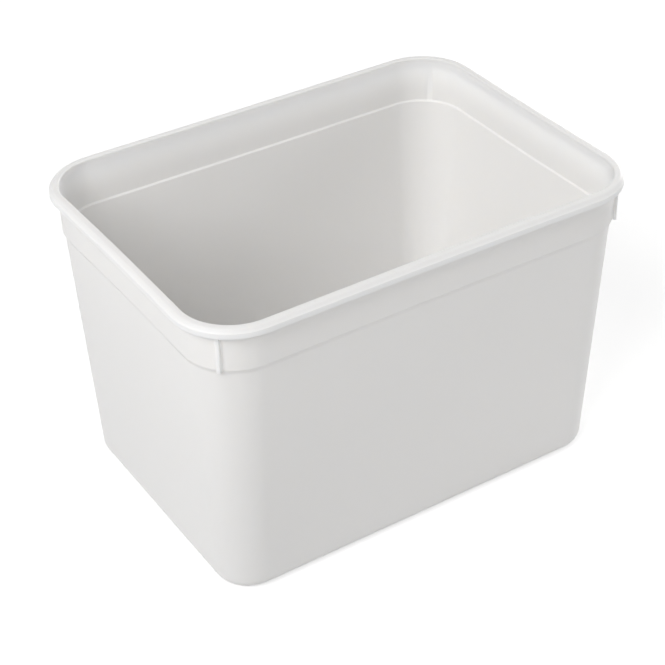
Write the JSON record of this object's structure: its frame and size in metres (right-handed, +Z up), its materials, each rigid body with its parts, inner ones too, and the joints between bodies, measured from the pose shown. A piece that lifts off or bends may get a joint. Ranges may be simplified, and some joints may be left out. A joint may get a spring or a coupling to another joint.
{
  "type": "plastic storage tub",
  "caption": "Open rectangular food storage tub with tapered walls, round corners, a stepped band below a rim with a turned-down skirt, and a thin rib under the rim at each corner.",
  "frame": {"origin": "on the ground below the middle of the tub", "axes": "+X along the tub's length, +Y across its width, +Z up out of its open top"},
  "size_m": [0.234, 0.1688, 0.155],
  "materials": {
    "white_polypropylene": "smooth, semi-gloss, slightly translucent white"
  },
  "bodies": {
    "root": {"tub": "white_polypropylene"}
  },
  "joints": []
}
